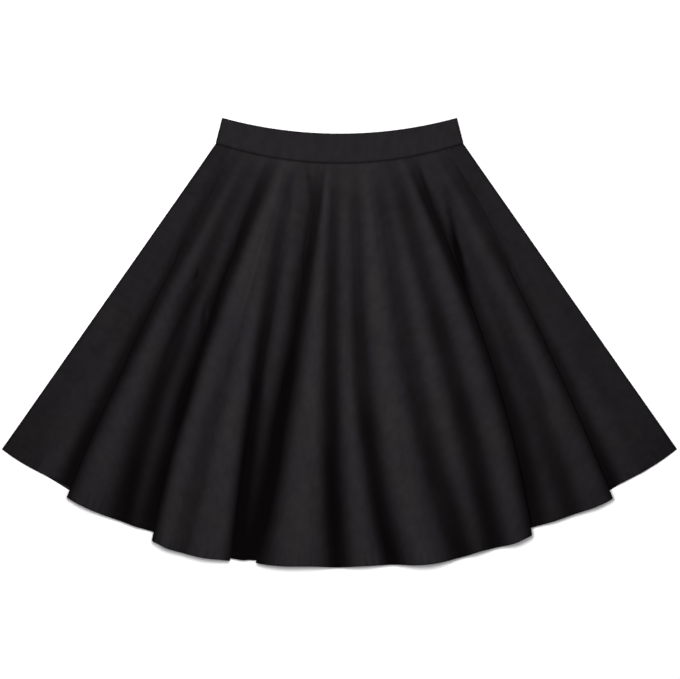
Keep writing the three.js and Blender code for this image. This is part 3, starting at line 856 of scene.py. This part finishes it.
chain = mesh_piece("zip_coil")
made_by(
    coil_tree(),
    chain,
    nylon,
    Pitch=COIL_PITCH * MM,
    Length=(slider_bottom - chain_bottom - COIL_CLEARS_STOP - 0.5) * MM,
    Tooth=0.0026,
    Thick=0.0008,
)
for corner in chain.data.vertices:
    corner.co += Vector((0, chain_bottom + COIL_CLEARS_STOP, ZIP_BOTTOM + 0.42)) * MM
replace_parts(chain, "zip_chain")

tape_ends = chain_bottom - TAPE_PAST_CHAIN, slider_top + 1
tapes = boxes(
    "zip_tapes",
    [
        ((left, tape_ends[0], TAPE_BOTTOM), (right, tape_ends[1], TAPE_TOP))
        for left, right in ((TAPE_INNER, TAPE_OUTER), (-TAPE_OUTER, -TAPE_INNER))
    ],
    0.12,
    nylon,
    "skirt",
)
stop_corners = (-STOP_HALF, chain_bottom, STOP_BOTTOM), (STOP_HALF, chain_bottom + STOP_LENGTH, ZIP_TOP)
stop = boxes("zip_stop", [stop_corners], 0.3, enamel, "skirt")

slider = boxes(
    "slider",
    [
        ((-ZIP_HALF, slider_bottom, ZIP_BOTTOM), (ZIP_HALF, slider_top, ZIP_TOP)),
        ((-ZIP_HALF, slider_bottom, SLIDER_BOTTOM), (-ZIP_HALF + SLIDER_SIDE, slider_top, ZIP_TOP - 0.1)),
        ((ZIP_HALF - SLIDER_SIDE, slider_bottom, SLIDER_BOTTOM), (ZIP_HALF, slider_top, ZIP_TOP - 0.1)),
    ],
    0.22,
    enamel,
    "skirt",
)
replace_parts(slider, "zip_slider")
pull_top = slider_bottom + PULL_IN_SLIDER
pull_middle = (PULL_TOP + PULL_BOTTOM) / 2
pin = mesh_piece("slider_pin")
form = bmesh.new()
pin_size = {"radius1": PIN_HALF * MM, "radius2": PIN_HALF * MM, "depth": PIN_LENGTH * MM}
bmesh.ops.create_cone(form, segments=14, cap_ends=True, **pin_size)
bmesh.ops.rotate(form, verts=form.verts, cent=(0, 0, 0), matrix=Matrix.Rotation(math.pi / 2, 3, "Y"))
pin_middle = (0, (pull_top - PIN_INSIDE_TAB) * MM, pull_middle * MM)
bmesh.ops.translate(form, verts=form.verts, vec=pin_middle)
form.to_mesh(pin.data)
form.free()
pin.data.materials.append(enamel)
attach(pin, "skirt")

# The tab's outline: share of its half width, and distance from its top
PULL_OUTLINE = [(1, 0), (1, 1.2), (0.82, 4), (0.55, 7.5), (0.6, 10), (0.9, 12.6), (1, 14.4)]
PULL_OUTLINE += [(0.85, 16.2), (0.4, 17)]
HOLE_HALF, HOLE_RISE, HOLE_DOWN, HOLE_SIDES = 0.75, 1.3, 14.2, 20
outline = [(PULL_HALF * share, pull_top - down) for share, down in PULL_OUTLINE]
outline += [(-x, y) for x, y in outline[::-1]]
hole = [
    (HOLE_HALF * math.sin(a), pull_top - HOLE_DOWN + HOLE_RISE * math.cos(a))
    for a in np.linspace(0, 2 * math.pi, HOLE_SIDES, endpoint=False)
]
tab = bpy.data.curves.new("zip_pull_tab", "CURVE")
tab.dimensions = "2D"
tab.fill_mode = "BOTH"
tab.bevel_depth = 0.00012
tab.bevel_resolution = 2
tab.extrude = (PULL_TOP - PULL_BOTTOM) / 2 * MM - tab.bevel_depth
tab.offset = -tab.bevel_depth
for line in (outline, hole):
    spline = tab.splines.new("POLY")
    spline.points.add(len(line) - 1)
    for point, (x, y) in zip(spline.points, line):
        point.co = (x * MM, y * MM, 0, 1)
    spline.use_cyclic_u = True
maker = in_scene("tab_maker", tab)
tab_mesh = plain_mesh(maker)
bpy.data.objects.remove(maker)
for corner in tab_mesh.vertices:
    corner.co.z += pull_middle * MM
pull = in_scene("zip_pull_tab", tab_mesh)
tab_mesh.materials.clear()
tab_mesh.materials.append(enamel)
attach(pull, "zip_pull")
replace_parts(pull, "zip_pull")

# Stitching
# The hem is turned 9 mm to the inside and stitched 8 mm up with black thread, about three stitches to the
# centimetre. The zip's tapes are stitched to the back panels and the band, on both sides of the opening.

STITCH_PITCH, THREAD = 3.1, 0.34
ZIP_STITCH_PITCH, ZIP_STITCH_OUT, ZIP_STITCH_HEIGHT = 4.0, 4, 0.12


def stitch_tree():
    """Stitches at even steps along a line, each turned along it and flat on the cloth's face."""
    tree, given, result = nodes_tree("stitches", Pitch=0.0031, Thread=0.0003)
    path = linked(tree, "GeometryNodeMeshToCurve", Mesh=given["Geometry"]).outputs[0]
    spaced = linked(tree, "GeometryNodeResampleCurve", Curve=path, mode="LENGTH", Length=given["Pitch"])
    out = linked(tree, "GeometryNodeInputNamedAttribute", data_type="FLOAT_VECTOR", Name="face_out")
    stand = linked(tree, "FunctionNodeAlignRotationToVector", axis="Z", Vector=out.outputs[0]).outputs[0]
    along = linked(tree, "FunctionNodeAlignRotationToVector", axis="X", pivot_axis="Z", Rotation=stand)
    tree.links.new(linked(tree, "GeometryNodeInputTangent").outputs[0], along.inputs["Vector"])
    ball = linked(tree, "GeometryNodeMeshUVSphere", Segments=8, Rings=5, Radius=0.5)
    long = maths(tree, "MULTIPLY", given["Pitch"], 0.86)
    high = maths(tree, "MULTIPLY", given["Thread"], 0.8)
    size = linked(tree, "ShaderNodeCombineXYZ", X=long, Y=given["Thread"], Z=high)
    shape = linked(tree, "GeometryNodeTransform", Geometry=ball.outputs[0], Scale=size.outputs[0])
    sewn = linked(tree, "GeometryNodeInstanceOnPoints", Points=spaced.outputs[0], Instance=shape.outputs[0])
    tree.links.new(along.outputs[0], sewn.inputs["Rotation"])
    return finish_tree(tree, given, result, sewn.outputs[0])


sewing = stitch_tree()


def sew(name, lines):
    """Stitches along lines of points, each with the directions that face out of the cloth there."""
    points, edges, outs = [], [], []
    for line, out in lines:
        edges += [(len(points) + i, len(points) + i + 1) for i in range(len(line) - 1)]
        points += (line * MM).tolist()
        outs += out.tolist()
    host = mesh_piece(name, points, edges)
    host.data.attributes.new("face_out", "FLOAT_VECTOR", "POINT").data.foreach_set("vector", np.ravel(outs))
    made_by(sewing, host, thread, Pitch=STITCH_PITCH * MM, Thread=THREAD * MM)


def both_sides(line, out):
    return [(line * (side, 1, 1), out * (side, 1, 1)) for side in (1, -1)]


def hem_stitch_line(mid, v, side, raised):
    """Where a panel's hem is stitched, between two of its rows and raised off its upper or under side."""
    above = np.searchsorted(v, 1 - HEM_STITCH_UP / PANEL_LENGTH)
    out = grid_normals(mid)[above] * side
    return (mid[above - 1] + mid[above]) / 2 + out * raised, out


sew("hem_stitches_front", [hem_stitch_line(front_mid, front_v, 1, CLOTH / 2 + 0.2)])
sew("hem_stitches_back", both_sides(*hem_stitch_line(back_flat, back_v, -1, BACK_CLOTH / 2)))
zip_rows = np.arange(chain_bottom - 2, SEAM_Y + BAND_HEIGHT - 1, ZIP_STITCH_PITCH)
zip_line = np.array([[ZIP_GAP_HALF + ZIP_STITCH_OUT, y, ZIP_STITCH_HEIGHT] for y in zip_rows])
down = np.tile([0.0, 0.0, -1.0], (len(zip_line), 1))
sew("zip_stitches", both_sides(zip_line, down))

# Floor, lights and camera
# The skirt lies on a plain white sheet, lit softly from above, and the camera looks straight down on it.

FLOOR_HALF, FLOOR_TOP = 4, -0.0004
corner_signs = ((-1, -1), (1, -1), (1, 1), (-1, 1))
corners = [(x * FLOOR_HALF, y * FLOOR_HALF, FLOOR_TOP) for x, y in corner_signs]
floor = mesh_piece("floor", corners, faces=[(0, 1, 2, 3)])
white, _, shader = new_material("white sheet")
shader["Base Color"].default_value = (0.9, 0.9, 0.9, 1)
shader["Roughness"].default_value = 0.9
floor.data.materials.append(white)

world = bpy.data.worlds.new("studio")
world.use_nodes = True
world.node_tree.nodes["Background"].inputs["Color"].default_value = (1, 1, 1, 1)
world.node_tree.nodes["Background"].inputs["Strength"].default_value = 0.45
bpy.context.scene.world = world

softbox = bpy.data.lights.new("key", "AREA")
softbox.shape = "DISK"
softbox.size = 0.45
softbox.energy = 19.5
light = in_scene("key", softbox)
light.location = (-0.06, 0.05, 1.15)
x, y, z = light.location
light.rotation_euler = (math.acos(z / light.location.length), 0, math.atan2(-x, y))

CAMERA_HEIGHT, SENSOR, PHOTO_WIDTH = 3.0, 36, 680
camera_data = bpy.data.cameras.new("camera")
camera_data.sensor_width = SENSOR
camera_data.lens = SENSOR * CAMERA_HEIGHT / (PHOTO_WIDTH * PIXEL * MM)
camera = in_scene("camera", camera_data)
camera.location = (0.0007, 0.0042, CAMERA_HEIGHT)
bpy.context.scene.camera = camera
bpy.context.scene.view_settings.view_transform = "Standard"
